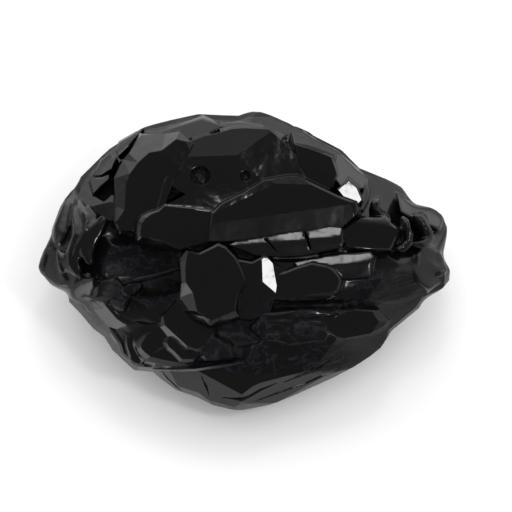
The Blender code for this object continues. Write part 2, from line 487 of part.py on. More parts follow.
def cracks(stone):
    """What is cut after the plates are added: gas pits, joints and grooves."""
    faces = [face.vertices for face in stone.data.polygons]
    skin = BVHTree.FromPolygons([vertex.co / MM for vertex in stone.data.vertices], faces)
    yield "roundPit", pit((-10.4, 20.4), 5.4, 3.2)
    yield "cornerPit", pit((0.3, 20.2), 3.4, 3.2)
    yield "bandJoint", hollow((14.2, 7.2), (16.2, 1.2), 0.9, 3.0)
    yield "bandCrack", hollow((4.0, 6.2), (9.0, 0.6), 0.7, 2.6)
    yield "lowGroove", groove([(9.9, -30.4), (13.9, -28.6), (19.1, -26.4), (21.9, -25)], 1.0, 0.9, skin)
    yield "rimGroove", groove([(2.9, -34), (7.9, -32.6), (11.9, -31.2), (14.9, -30), (18.9, -28),
                              (23.4, -26.2)], 0.8, 0.8, skin)
    yield "wedgeSlit", groove([(-5.5, -33.4), (-2, -33.6), (1.5, -33), (4.6, -31.9), (8.3, -30.5)],
                              1.1, 1.0, skin)
    yield "lobeSlit", groove([(-19.6, -26.6), (-18.4, -28.2), (-16.6, -29.9), (-14.9, -31.2)], 0.9, 0.8, skin)
    yield "cheekSlit", groove([(-10.4, -28), (-9.5, -30.6), (-8.6, -32.6)], 0.8, 0.8, skin)
    yield "flankSlit", groove([(21.5, -22), (25.5, -20.6), (29, -18.2), (31.6, -15.8)], 0.8, 0.7, skin)


def groove(path, width, depth, skin):
    """A narrow V that follows the stone's skin along a path, as the solid that cuts it."""
    rings = []
    spots = [skin.find_nearest(above(spot, 0)) for spot in path]
    for i, (spot, out, _, _) in enumerate(spots):
        along = spots[min(i + 1, len(path) - 1)][0] - spots[max(i - 1, 0)][0]
        taper = RIB_TAPER if i in (0, len(path) - 1) else 1.0
        across = out.cross(along).normalized() * width * taper
        rings.append([spot + across + out * depth, spot - across + out * depth, spot - out * depth * taper])
    return stack(rings)


def pit(centre, width, depth):
    """A gas bubble broken open at the surface."""
    bm = bmesh.new()
    bmesh.ops.create_icosphere(bm, subdivisions=2, radius=1.0)
    size = Matrix.Diagonal((width / 2, width / 2, depth, 1.0))
    place = Matrix.Translation((*centre, surface(*centre) + PIT_RISE))
    bmesh.ops.transform(bm, matrix=place @ size, verts=bm.verts)
    return bm


def back_plates():
    """Plates on the far side and underneath, where the show side's sheet sees none."""
    broad = [(-26, 26), (-10, 29), (6, 28), (9, 20), (2, 12), (-14, 10), (-27, 16)]
    yield "backBroad", plate(broad, 1.8, edge=1.2, lean=0.8, side=UNDER, facets=[((-16, 27), (-4, 11), 7)])
    wing = [(10, 27), (22, 23), (31, 15), (27, 6), (14, 5), (8, 14)]
    yield "backWing", plate(wing, 1.6, edge=1.0, lean=0.8, side=UNDER, facets=[((30, 19), (14, 12), 9)])
    flank = [(-44, 3), (-36, 15), (-28, 14), (-25, 4), (-32, -6), (-41, -5)]
    yield "backFlank", plate(flank, 1.5, edge=1.0, lean=0.85, side=UNDER, facets=[((-42, 8), (-30, -4), 8)])
    tip = [(33, 12), (41, 9), (45, 1), (40, -7), (31, -5), (30, 5)]
    yield "backTip", plate(tip, 1.3, edge=0.9, lean=0.85, side=UNDER)
    low_left = [(-30, -10), (-16, -9), (-10, -18), (-16, -26), (-27, -21)]
    yield "lowLeft", plate(low_left, 1.2, edge=0.8, lean=0.85, side=UNDER)
    low_right = [(4, -16), (20, -12), (28, -17), (20, -25), (6, -27)]
    yield "lowRight", plate(low_right, 1.2, edge=0.8, lean=0.85, side=UNDER)
    yield "backRib", ridge([(-22, 31), (-8, 32), (6, 32.2), (17, 28)], 2.6, 1.0, 0.5, side=UNDER)
    yield "backFold", ridge([(-30, 2), (-16, 5), (0, 7), (14, 2), (26, 1)], 3.0, 1.3, 0.6, side=UNDER)
    yield "tipFoldUnder", ridge([(34, 15), (43, 10), (46, 2), (44, -5)], 2.4, 0.9, 0.4, side=UNDER)
    yield "leftFoldUnder", ridge([(-35, 21), (-42, 11), (-45.5, 2), (-44, -4)], 2.4, 0.9, -0.4, side=UNDER)


def back_hollows():
    """Shell-shaped scoops on the far side."""
    yield "backScoop", hollow((-6, 16), (16, 10), 15, 3.2, detail=3, side=UNDER)
    yield "flankScoop", hollow((-34, 0), (-18, 12), 12, 2.8, side=UNDER)
    yield "underScoop", hollow((18, 2), (36, -8), 13, 2.6, side=UNDER)


# --- putting the stone together -----------------------------------------------------------------


def helper_set(name, forms, parent):
    """A collection of forms that a Boolean reads; they aren't part of the object."""
    collection = bpy.data.collections.new(name)
    parent.children.link(collection)
    for form_name, bm in forms:
        form = new_object(form_name, bm, collection)
        form.hide_render = True
        form.display_type = "WIRE"
    return collection


def fuse(stone, operation, collection):
    """A Boolean of the stone with each form of a collection in turn, applied.

    Where faces nearly coincide the exact solver can lose the stone, so each result is weighed,
    and a form that fell short is fused again by the manifold solver.
    """
    for form in collection.objects:
        before = volume(stone.data)
        for solver in SOLVERS:
            step = stone.modifiers.new(form.name, "BOOLEAN")
            step.operation = operation
            step.object = form
            step.solver = solver
            bpy.context.view_layer.update()
            seen = stone.evaluated_get(bpy.context.evaluated_depsgraph_get())
            whole = bpy.data.meshes.new_from_object(seen)
            stone.modifiers.clear()
            if volume(whole) > before * LEAST_KEPT:
                break
            print(operation.lower(), form.name, "fell short with", solver.lower())
        stone.data = whole


def volume(mesh):
    """What a closed mesh holds, or nothing where it isn't closed."""
    bm = bmesh.new()
    bm.from_mesh(mesh)
    closed = all(edge.is_manifold for edge in bm.edges)
    held = bm.calc_volume(signed=True) if closed else 0.0
    bm.free()
    return held


def drop_bubbles(bm):
    """Removes sealed pockets left where forms meet, so that one closed skin remains."""
    waiting = set(bm.verts)
    skins = []
    while waiting:
        skin, edge_of_search = set(), [waiting.pop()]
        while edge_of_search:
            vert = edge_of_search.pop()
            skin.add(vert)
            found = {edge.other_vert(vert) for edge in vert.link_edges} & waiting
            waiting -= found
            edge_of_search.extend(found)
        skins.append(skin)
    skins.sort(key=len)
    for skin in skins[:-1]:
        bmesh.ops.delete(bm, geom=list(skin), context="VERTS")


def set_down(stone):
    """Turns the stone from its sheet to lie as it rests, cuts its seat and centres it on it."""
    bm = bmesh.new()
    bm.from_mesh(stone.data)
    bmesh.ops.transform(bm, matrix=Matrix.Rotation(math.radians(SHEET_LEAN), 4, "X"), verts=bm.verts)
    lowest = min(vert.co.z for vert in bm.verts)
    slice_off(bm, Vector((0, 0, lowest + SEAT_CUT * MM)), Vector((0, 0, -1)))
    drop_bubbles(bm)
    bmesh.ops.dissolve_limit(bm, angle_limit=math.radians(FLUSH_ANGLE), verts=bm.verts, edges=bm.edges)
    bmesh.ops.triangulate(bm, faces=bm.faces)
    corners = [Vector([pick(vert.co[k] for vert in bm.verts) for k in range(3)]) for pick in (min, max)]
    middle = (corners[0] + corners[1]) / 2
    bmesh.ops.translate(bm, vec=(-middle.x, -middle.y, -corners[0].z), verts=bm.verts)
    bm.to_mesh(stone.data)
    bm.free()


def volcanic_glass():
    """Black volcanic glass with a hand-polished shine."""
    material = bpy.data.materials.new("black volcanic glass")
    material.use_nodes = True
    shader = material.node_tree.nodes["Principled BSDF"]
    shader.inputs["Base Color"].default_value = (0.006, 0.006, 0.007, 1.0)
    shader.inputs["Roughness"].default_value = 0.12
    shader.inputs["Metallic"].default_value = 0.0
    shader.inputs["IOR"].default_value = 1.5
    return material


def main():
    for old in list(bpy.data.objects):
        bpy.data.objects.remove(old)
    scene = bpy.context.scene.collection
    parts = bpy.data.collections.new("polished obsidian")
    helpers = bpy.data.collections.new("helpers")
    scene.children.link(parts)
    scene.children.link(helpers)

    stone = new_object("obsidian", body(), parts)
    hollow_set = helper_set("hollows", [*hollows(), *back_hollows()], helpers)
    raised = [*show_plates(), *rim_plates(), *terraces(), *ribs(), *back_plates()]
    plate_set = helper_set("plates", raised, helpers)
    bpy.context.view_layer.update()
    fuse(stone, "DIFFERENCE", hollow_set)
    fuse(stone, "UNION", plate_set)
    fuse(stone, "DIFFERENCE", helper_set("cracks", cracks(stone), helpers))
    set_down(stone)
    stone.data.materials.clear()
    stone.data.materials.append(volcanic_glass())


main()
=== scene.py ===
import math
import bpy
import numpy as np
from mathutils import Matrix, Vector


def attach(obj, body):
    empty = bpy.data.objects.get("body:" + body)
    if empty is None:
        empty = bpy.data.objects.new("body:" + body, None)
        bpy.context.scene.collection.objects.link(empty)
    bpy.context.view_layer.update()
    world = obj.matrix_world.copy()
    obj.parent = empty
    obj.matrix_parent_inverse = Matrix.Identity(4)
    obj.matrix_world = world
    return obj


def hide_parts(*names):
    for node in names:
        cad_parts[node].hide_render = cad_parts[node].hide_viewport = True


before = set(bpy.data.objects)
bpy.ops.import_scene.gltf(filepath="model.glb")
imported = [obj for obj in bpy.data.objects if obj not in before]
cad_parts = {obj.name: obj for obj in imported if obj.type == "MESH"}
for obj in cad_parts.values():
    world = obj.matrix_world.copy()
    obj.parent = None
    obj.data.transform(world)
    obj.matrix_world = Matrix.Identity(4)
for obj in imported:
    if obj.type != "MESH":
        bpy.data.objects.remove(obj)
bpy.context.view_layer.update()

mm = 0.001  # every size below is in millimetres and is turned to metres with this


def toLinear(hexColour):
    channels = [int(hexColour[i:i + 2], 16) / 255 for i in (1, 3, 5)]
    return (*[c / 12.92 if c <= 0.04045 else ((c + 0.055) / 1.055) ** 2.4 for c in channels], 1.0)


# a setting named by a number, or by a socket's name, is that input's value
def addNode(tree, kind, settings=None, links=None):
    node = tree.nodes.new(kind)
    for name, value in (settings or {}).items():
        if isinstance(name, int) or name in node.inputs:
            node.inputs[name].default_value = value
        else:
            setattr(node, name, value)
    for name, source in (links or {}).items():
        tree.links.new(source, node.inputs[name])
    return node


def selectOnly(piece):
    bpy.ops.object.select_all(action="DESELECT")
    piece.select_set(True)
    bpy.context.view_layer.objects.active = piece


def applyModifier(piece, kind, settings):
    selectOnly(piece)
    step = piece.modifiers.new(kind.lower(), kind)
    for name, value in settings.items():
        setattr(step, name, value)
    bpy.ops.object.modifier_apply(modifier=step.name)


# the camera stands in front of the stone and looks down on its show side
view = {
    "elevation": 60.0,     # degrees over the floor
    "lens": 500.0,         # mm, a long lens, so the far side isn't drawn smaller
    "sensor": 36.0,        # mm
    "frameWidth": 122.5,   # mm of the stone's own plane that the picture is wide
    "picture": 512.0,      # pixels, the width and height of the picture
    "middle": (244.2, 260.0),   # pixel where the middle of the stone's outline comes
    "farthest": 20000.0,   # mm, nothing beyond this is drawn
}

# the stone is drawn on a sheet that leans back with its show side: u runs right, v up it, in mm
sheet = {
    "lean": 30.0,            # degrees from lying level
    "middle": (0.05, 0.0),   # mm, where the middle of the outline is on the sheet
}


# turns places on the stone to places on the sheet and back
class Sheet:
    def __init__(self, piece):
        turn = Matrix.Rotation(math.radians(-sheet["lean"]), 3, "X")
        self.turn = np.array(turn)
        spots = self.turned(piece)
        self.shift = (spots.min(axis=0) + spots.max(axis=0)) / 2
        self.shift[0] -= sheet["middle"][0]
        self.shift[1] -= sheet["middle"][1]

    def turned(self, piece):
        places = np.empty(len(piece.data.vertices) * 3)
        piece.data.vertices.foreach_get("co", places)
        return places.reshape(-1, 3) @ self.turn.T / mm

    def spots(self, piece):
        return self.turned(piece) - self.shift

    def toWorld(self, spot):
        return Vector(self.turn.T @ (np.array(spot) + self.shift) * mm)

    def direction(self, way):
        return Vector(self.turn.T @ np.array(way, dtype=float))


def copyOfNode(name):
    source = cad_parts[name]
    piece = bpy.data.objects.new(name + "Stone", source.data.copy())
    bpy.context.scene.collection.objects.link(piece)
    piece.data.materials.clear()
    return piece


facetLook = {
    "mergeGap": 0.01,      # mm
    "flatAngle": 1.0,      # degrees, faces closer to level than this are one face
    "edgeWidth": 0.1,      # mm, how wide the worn edge of every facet is
    "edgeAngle": 16.0,     # degrees, blunter edges than this aren't worn
    "edgeSegments": 2,
    "mostWear": 0.25,      # mm, a point that the wear moves further than this is a spike
    "spikeRounds": 12,     # how often such a point moves to the middle of its neighbours
    "plateArea": 9.0,      # mm2, a flat face larger than this was polished
}


def mergeAndFlatten(piece):
    selectOnly(piece)
    bpy.ops.object.mode_set(mode="EDIT")
    bpy.ops.mesh.select_all(action="SELECT")
    bpy.ops.mesh.remove_doubles(threshold=facetLook["mergeGap"] * mm)
    bpy.ops.mesh.dissolve_limited(angle_limit=math.radians(facetLook["flatAngle"]))
    bpy.ops.object.mode_set(mode="OBJECT")
    print("solid merged:", len(piece.data.polygons), "faces")


def wearEdges(piece):
    applyModifier(piece, "BEVEL", {
        "width": facetLook["edgeWidth"] * mm,
        "segments": facetLook["edgeSegments"],
        "limit_method": "ANGLE",
        "angle_limit": math.radians(facetLook["edgeAngle"]),
        "use_clamp_overlap": False,
    })
    print("edges worn:", len(piece.data.polygons), "faces")


# where two edges nearly run together the worn edge shoots far past them, so such points settle back
def settleSpikes(piece):
    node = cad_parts["obsidian"]
    bpy.context.view_layer.update()
    moved = np.array([(node.closest_point_on_mesh(vertex.co)[1] - vertex.co).length
                      for vertex in piece.data.vertices])
    spikes = moved > facetLook["mostWear"] * mm
    applyModifier(piece, "SMOOTH", {
        "factor": 1.0, "iterations": facetLook["spikeRounds"],
        "vertex_group": group(piece, "spikes", 1.0 * spikes),
    })
    print("spikes settled:", int(spikes.sum()))


def markPolished(piece):
    polished = piece.data.attributes.new("polished", "FLOAT", "FACE")
    least = facetLook["plateArea"] * mm * mm
    for face in piece.data.polygons:
        polished.data[face.index].value = min(1.0, face.area / least)


# both ends and the hollows between the plates flow softly; each zone is an ellipse on the sheet:
# u, v, half its width and height, and the largest face in mm2 that is softened there
softLook = {
    "ends": {
        "zones": [(-44.5, 4.5, 10.5, 14, 900), (43.5, 2, 9, 14, 900)],
        "grid": (0.5, 0.5, 1.0),   # mm along u, up v and into the stone
        "rounds": 110,             # how often the blocks are eased into folds
    },
    "hollows": {
        "zones": [(-30, -2, 14, 12, 12), (-31, -18, 9, 9, 12), (34, -6, 12, 6, 30),
                  (0, -17.5, 14, 5, 30), (34, 13, 7, 5, 30), (11, -15.5, 11, 4, 200),
                  (-35.5, 19, 6, 6.5, 10)],
        "grid": (0.7, 0.7, 1.4),
        "rounds": 30,
    },
    "bands": {
        "zones": [(10, 4.2, 15, 3.6, 900), (25.5, -1.2, 7.5, 3.4, 900)],
        "grid": (0.6, 0.6, 1.2),
        "rounds": 5,
    },
}
ease = {
    "crease": 40.0,        # degrees, sharper folds than this keep an edge
    "fade": 0.3,           # share of a zone's half width over which it fades in
    "lowest": -12.0,       # mm on the sheet, below this is the underside
    "pull": 0.5,           # how far one round moves a point toward its neighbours
    "leastWeight": 0.002,  # points that would move less than this share are left alone
}


def insideOf(zones, spots):
    best = np.zeros(len(spots))
    for u, v, halfU, halfV, _ in zones:   # far is 1 on the ellipse
        far = np.hypot((spots[:, 0] - u) / halfU, (spots[:, 1] - v) / halfV)
        best = np.maximum(best, np.clip((1 + ease["fade"] / 2 - far) / ease["fade"], 0, 1))
    return best * (spots[:, 2] > ease["lowest"])


def softFaces(piece, spots, zones):
    centres = np.array([spots[list(face.vertices)].mean(axis=0) for face in piece.data.polygons])
    areas = np.array([face.area for face in piece.data.polygons]) / mm / mm
    soft = np.zeros(len(areas), dtype=bool)
    for zone in zones:
        largest = zone[-1]
        soft |= (insideOf([zone], centres) > 0) & (areas < largest)
    return soft


def alreadySoft(piece):
    values = np.zeros(len(piece.data.polygons))
    piece.data.attributes["soft"].data.foreach_get("value", values)
    return values > 0.5


def gridSoftFaces(piece, plane, zones, grid):
    spots = plane.spots(piece)
    soft = softFaces(piece, spots, zones)
    piece.data.attributes["soft"].data.foreach_set("value", 1.0 * (soft | alreadySoft(piece)))
    selectOnly(piece)
    bpy.ops.object.mode_set(mode="EDIT")
    bpy.ops.mesh.select_mode(type="FACE")
    bpy.ops.mesh.select_all(action="DESELECT")
    bpy.ops.object.mode_set(mode="OBJECT")
    piece.data.polygons.foreach_set("select", soft)
    bpy.ops.object.mode_set(mode="EDIT")
    bpy.ops.mesh.hide(unselected=True)
    for axis, step in enumerate(grid):
        way = [axis == k for k in range(3)]
        for k in range(int(spots[:, axis].min() / step), int(spots[:, axis].max() / step) + 1):
            bpy.ops.mesh.select_all(action="SELECT")
            bpy.ops.mesh.bisect(plane_co=plane.toWorld([k * step * part for part in way]),
                                plane_no=plane.direction(way))
    bpy.ops.mesh.reveal(select=False)
    bpy.ops.object.mode_set(mode="OBJECT")
    print("soft grid:", len(piece.data.polygons), "faces")


def group(piece, name, weights):
    made = piece.vertex_groups.new(name=name)
    for i in np.flatnonzero(weights > ease["leastWeight"]):
        made.add([int(i)], float(weights[i]), "REPLACE")
    return name


def softPoints(piece):
    firm = np.zeros(len(piece.data.vertices), dtype=bool)   # on a plate, which stays as it is
    soft = alreadySoft(piece)
    for face in piece.data.polygons:
        if not soft[face.index]:
            firm[list(face.vertices)] = True
    return ~firm


def easeBlocks(piece, plane, name, part):
    weights = insideOf(part["zones"], plane.spots(piece)) * softPoints(piece)
    applyModifier(piece, "SMOOTH", {
        "factor": ease["pull"], "iterations": part["rounds"],
        "vertex_group": group(piece, name, weights),
    })
    print("eased:", name)


# folds that the glass froze into: a path on the sheet, height, and how far each flank runs, in mm
folds = {
    "outerSwirl": {
        "path": [(-42, 15), (-43, 13), (-43.8, 11), (-45, 8.3), (-45.6, 6)],
        "height": 0.5, "left": 2.4, "right": 0.9,
    },
    "longSwirl": {
        "path": [(-41.6, 13.9), (-40.5, 12.5), (-40.2, 10), (-39.6, 8), (-39.7, 6), (-40.4, 4),
                 (-41.2, 1), (-41.2, -1), (-40.4, -2.5), (-39.6, -4)],
        "height": 0.8, "left": 0.9, "right": 2.6,
    },
    "innerSwirl": {
        "path": [(-38.8, 12), (-37.3, 10.5), (-37.1, 9), (-37.5, 7), (-38.3, 5), (-39.5, 3), (-40.8, 0.5)],
        "height": 0.7, "left": 0.8, "right": 1.8,
    },
    "nearSwirl": {
        "path": [(-33.3, 10), (-35.6, 7), (-36.8, 5), (-38, 3), (-38.3, 2)],
        "height": 0.3, "left": 1.4, "right": 2.4,
    },
    "tipSwirl": {
        "path": [(-44.2, 0), (-43.5, -2), (-43.2, -3.5), (-42, -5.2)],
        "height": 0.5, "left": 0.7, "right": 1.6,
    },
    "rimSwirl": {
        "path": [(-45.4, 4), (-45.5, 2.5), (-47.3, 1.7), (-48, -1), (-48.5, -3.8)],
        "height": 0.4, "left": 0.6, "right": 1.6,
    },
    "outerFold": {
        "path": [(-32, -16), (-30.5, -17.5), (-29, -19.5), (-28.3, -22), (-26, -24), (-22, -25)],
        "height": 0.6, "left": 0.8, "right": 1.8,
    },
    "innerFold": {
        "path": [(-28.8, -17), (-27.4, -18), (-27.3, -20.6), (-26.5, -23), (-24, -24.8)],
        "height": 0.5, "left": 0.8, "right": 1.6,
    },
    "valleyLine": {
        "path": [(-29.4, -5.9), (-26, -4.9), (-22, -3.9), (-15.4, -2)],
        "height": 0.4, "left": 0.6, "right": 1.0,
    },
    "fin": {
        "path": [(32.2, 15.1), (30.7, 13.3), (31, 12), (33, 10.6), (34.8, 9.4)],
        "height": 0.6, "left": 1.6, "right": 0.7,
    },
    "crescent": {
        "path": [(37.6, 10.6), (38.9, 9.2), (39.3, 7), (39.7, 6.2), (39.5, 4), (38.4, 2.9), (37.6, 2.3),
                 (35.5, 2.9)],
        "height": 0.8, "left": 0.7, "right": 2.0,
    },
    "bent": {
        "path": [(41.8, 10.5), (42.6, 10.9), (43.2, 10.3), (43.8, 7.7), (45, 5.1), (43.6, 3.9), (42, 3.2),
                 (39.9, 3.7)],
        "height": 0.8, "left": 0.7, "right": 1.8,
    },
    "tipFold": {
        "path": [(45.5, 1.9), (46.6, 1.8), (47.6, -0.8), (48.2, -2.5), (46.6, -4.3)],
        "height": 0.5, "left": 0.7, "right": 1.4,
    },
    "tick": {
        "path": [(40.4, 1.1), (41.6, 1.1), (41.3, -1.3)],
        "height": 0.4, "left": 0.5, "right": 0.9,
    },
    "slabLine": {
        "path": [(31.9, -9.9), (35.5, -8.6), (39.5, -6.8)],
        "height": 0.5, "left": 0.5, "right": 2.0,
    },
    "ring": {
        "path": [(2.5, -16.3), (4, -15), (7.5, -14.4), (11, -15), (12.5, -16.3), (11, -17.6), (7.5, -18.2),
                 (4, -17.6), (2.5, -16.3)],
        "height": 0.22, "left": 0.7, "right": 0.7,
    },
    "wetRib": {
        "path": [(2.5, -13.4), (9, -12.8), (15, -12.4), (20, -12.6)],
        "height": 0.75, "left": 2.3, "right": 0.9,
    },
    "crease": {
        "path": [(3, -20.6), (6, -20.9), (10, -20.2), (12.5, -18.7)],
        "height": 0.3, "left": 0.5, "right": 1.4,
    },
}
foldShape = {
    "beyond": 0.05,        # a fold's taper starts this share of its length past its end
    "steepness": 4.0,      # how fast it reaches full height, here within a fifth of its length
    "crown": 1.5,          # a flank's curve: 1 is a straight slope, more gives a sharper crown
}


def foldHeights(spots):
    total = np.zeros(len(spots))
    for fold in folds.values():
        path = np.array(fold["path"], dtype=float)
        best = np.full(len(spots), np.inf)
        height = np.zeros(len(spots))
        lengths = np.hypot(*np.diff(path, axis=0).T)
        for k, (start, end) in enumerate(zip(path, path[1:])):
            along = (end - start) / lengths[k]
            offset = spots[:, :2] - start
            run = np.clip(offset @ along, 0, lengths[k])
            gap = offset - run[:, None] * along
            far = np.hypot(gap[:, 0], gap[:, 1])
            leftward = along[0] * offset[:, 1] - along[1] * offset[:, 0] > 0
            width = np.where(leftward, fold["left"], fold["right"])
            share = (lengths[:k].sum() + run) / lengths.sum()
            fromEnd = np.minimum(share, 1 - share) + foldShape["beyond"]
            taper = np.minimum(1, foldShape["steepness"] * fromEnd)
            rise = fold["height"] * taper * np.clip(1 - far / width, 0, 1) ** foldShape["crown"]
            height = np.where(far < best, rise, height)
            best = np.minimum(best, far)
        total = np.maximum(total, height)
    return total * (spots[:, 2] > ease["lowest"])


def raiseFolds(piece, plane):
    heights = foldHeights(plane.spots(piece)) * softPoints(piece)
    most = heights.max()
    applyModifier(piece, "DISPLACE", {
        "strength": most * mm, "mid_level": 0.0, "direction": "NORMAL",
        "vertex_group": group(piece, "folds", heights / most),
    })
    print("folds raised:", len(folds))


def shadeSoftly(piece):
    selectOnly(piece)
    bpy.ops.object.shade_smooth_by_angle(angle=math.radians(ease["crease"]))
    piece.data.polygons.foreach_set("use_smooth", alreadySoft(piece))


def makeStone():
    stone = copyOfNode("obsidian")
    plane = Sheet(stone)
    mergeAndFlatten(stone)
    markPolished(stone)
    wearEdges(stone)
    settleSpikes(stone)
    stone.data.attributes.new("soft", "FLOAT", "FACE")
    for part in softLook.values():
        gridSoftFaces(stone, plane, part["zones"], part["grid"])
    for name, part in softLook.items():
        easeBlocks(stone, plane, name, part)
    raiseFolds(stone, plane)
    shadeSoftly(stone)
    stone.data.materials.append(volcanicGlass(plane))
    print("stone:", len(stone.data.polygons), "faces")
    return stone


glassLook = {
    "body": "#0a0a0c",
    "veins": "#1a1d23",
    "ior": 1.49,
    "polishedRoughness": 0.08,
    "wornRoughness": 0.3,
    "satinRoughness": 0.17,   # where the flow froze in soft folds
    "dullRoughness": 0.42,
    "polishedShine": 0.5,
    "dullShine": 0.2,
    "veinSpacing": 5.0,     # mm
    "veinWidth": 0.035,     # share of the noise's range that a vein takes up
    "veinNoise": {"Detail": 4.0, "Roughness": 0.6, "Distortion": 0.8},
    "waveSpacing": 18.0,    # mm, how the buffing left the flats a little uneven
    "waveHeight": 0.6,      # mm
    "rippleSpacing": 2.6,   # mm
    "rippleHeight": 0.06,   # mm
    "waveDetail": 1.0,
    "flowSpacing": (11.0, 1.5, 6.0),   # mm along, across and into the flow
    "flowHeight": 0.22,     # mm
    "flowLength": 54.0,     # mm from the middle to where the flow lines meet
    "flowOpening": 1.06,    # how far apart the flow lines stand in the middle
    "flowNoise": {"Detail": 3.0, "Roughness": 0.6, "Distortion": 0.4},
}

# where the glass kept its dull flow-banded skin: u, v, half the width and height on the sheet
dullSkin = [(-25, 0, 9, 4), (-26, -8, 7, 4), (-19, -7.5, 4, 3), (-2, -17.5, 5, 3), (10, -16, 9, 3.6),
            (8, -23.5, 19, 4), (18, -10.5, 14, 1.8), (34, -6, 8, 4)]
skinFade = (1.2, 0.8)   # where a patch of it starts and where it is full, as shares of its half width


def skinMask(tree, spot):
    start, full = skinFade
    mask = None
    for u, v, halfU, halfV in dullSkin:
        offset = addNode(tree, "ShaderNodeVectorMath", {"operation": "SUBTRACT", 1: (u, v, 0)}, {0: spot})
        share = addNode(tree, "ShaderNodeVectorMath", {
            "operation": "MULTIPLY", 1: (1 / halfU, 1 / halfV, 0),
        }, {0: offset.outputs["Vector"]})
        far = addNode(tree, "ShaderNodeVectorMath", {"operation": "LENGTH"}, {0: share.outputs["Vector"]})
        part = addNode(tree, "ShaderNodeMapRange", {
            "interpolation_type": "SMOOTHSTEP", "From Min": start, "From Max": full,
        }, {"Value": far.outputs["Value"]})
        if mask is None:
            mask = part.outputs["Result"]
        else:
            mask = addNode(tree, "ShaderNodeMath", {"operation": "MAXIMUM"},
                           {0: mask, 1: part.outputs["Result"]}).outputs["Value"]
    return mask


# flow bands, in mm, that run the length of the dull skin and close up toward both ends
def flowBands(tree, spot, dull):
    place = addNode(tree, "ShaderNodeSeparateXYZ", links={0: spot})
    along = addNode(tree, "ShaderNodeMath", {"operation": "DIVIDE", 1: glassLook["flowLength"]},
                    {0: place.outputs["X"]})
    closing = addNode(tree, "ShaderNodeMath", {"operation": "MULTIPLY"},
                      {0: along.outputs["Value"], 1: along.outputs["Value"]})
    opening = addNode(tree, "ShaderNodeMath", {"operation": "SUBTRACT", 0: glassLook["flowOpening"]},
                      {1: closing.outputs["Value"]})
    across = addNode(tree, "ShaderNodeMath", {"operation": "DIVIDE"},
                     {0: place.outputs["Y"], 1: opening.outputs["Value"]})
    lines = addNode(tree, "ShaderNodeCombineXYZ", links={
        "X": place.outputs["X"], "Y": across.outputs["Value"], "Z": place.outputs["Z"],
    })
    stretched = addNode(tree, "ShaderNodeVectorMath", {
        "operation": "DIVIDE", 1: glassLook["flowSpacing"],
    }, {0: lines.outputs["Vector"]})
    flow = addNode(tree, "ShaderNodeTexNoise", {"Scale": 1.0, **glassLook["flowNoise"]},
                   {"Vector": stretched.outputs["Vector"]})
    grown = addNode(tree, "ShaderNodeMath", {"operation": "MULTIPLY"}, {0: flow.outputs["Fac"], 1: dull})
    return addNode(tree, "ShaderNodeMath", {"operation": "MULTIPLY", 1: glassLook["flowHeight"]},
                   {0: grown.outputs["Value"]})


# the fine unevenness in mm: flow bands with broad waves and small ripples over them
def relief(tree, spot, dull):
    total = flowBands(tree, spot, dull)
    for kind in ("wave", "ripple"):
        noise = addNode(tree, "ShaderNodeTexNoise", {
            "Scale": 1 / glassLook[kind + "Spacing"], "Detail": glassLook["waveDetail"],
        }, {"Vector": spot})
        height = addNode(tree, "ShaderNodeMath", {"operation": "MULTIPLY", 1: glassLook[kind + "Height"]},
                         {0: noise.outputs["Fac"]})
        total = addNode(tree, "ShaderNodeMath", {"operation": "ADD"},
                        {0: total.outputs["Value"], 1: height.outputs["Value"]})
    return total


# thin lines where the noise crosses its middle value, on the dull skin alone
def flowVeins(tree, spot, dull):
    swirl = addNode(tree, "ShaderNodeTexNoise", {
        "Scale": 1 / glassLook["veinSpacing"], **glassLook["veinNoise"],
    }, {"Vector": spot})
    middle = addNode(tree, "ShaderNodeMath", {"operation": "SUBTRACT", 1: 0.5}, {0: swirl.outputs["Fac"]})
    gap = addNode(tree, "ShaderNodeMath", {"operation": "ABSOLUTE"}, {0: middle.outputs["Value"]})
    vein = addNode(tree, "ShaderNodeMapRange", {"From Min": glassLook["veinWidth"], "From Max": 0.0},
                   {"Value": gap.outputs["Value"]})
    return addNode(tree, "ShaderNodeMath", {"operation": "MULTIPLY"}, {0: vein.outputs["Result"], 1: dull})


# dull on its skin, satin in the soft folds, and clear as a mirror on the polished flats
def roughness(tree, dull):
    polished = addNode(tree, "ShaderNodeAttribute", {"attribute_name": "polished"})
    worn = addNode(tree, "ShaderNodeMapRange", {
        "To Min": glassLook["wornRoughness"], "To Max": glassLook["polishedRoughness"],
    }, {"Value": polished.outputs["Fac"]})
    soft = addNode(tree, "ShaderNodeAttribute", {"attribute_name": "soft"})
    satin = addNode(tree, "ShaderNodeMath", {"operation": "MULTIPLY", 1: glassLook["satinRoughness"]},
                    {0: soft.outputs["Fac"]})
    firm = addNode(tree, "ShaderNodeMath", {"operation": "MAXIMUM"},
                   {0: worn.outputs["Result"], 1: satin.outputs["Value"]})
    return addNode(tree, "ShaderNodeMix", {"data_type": "FLOAT", 3: glassLook["dullRoughness"]},
                   {0: dull, 2: firm.outputs["Value"]})


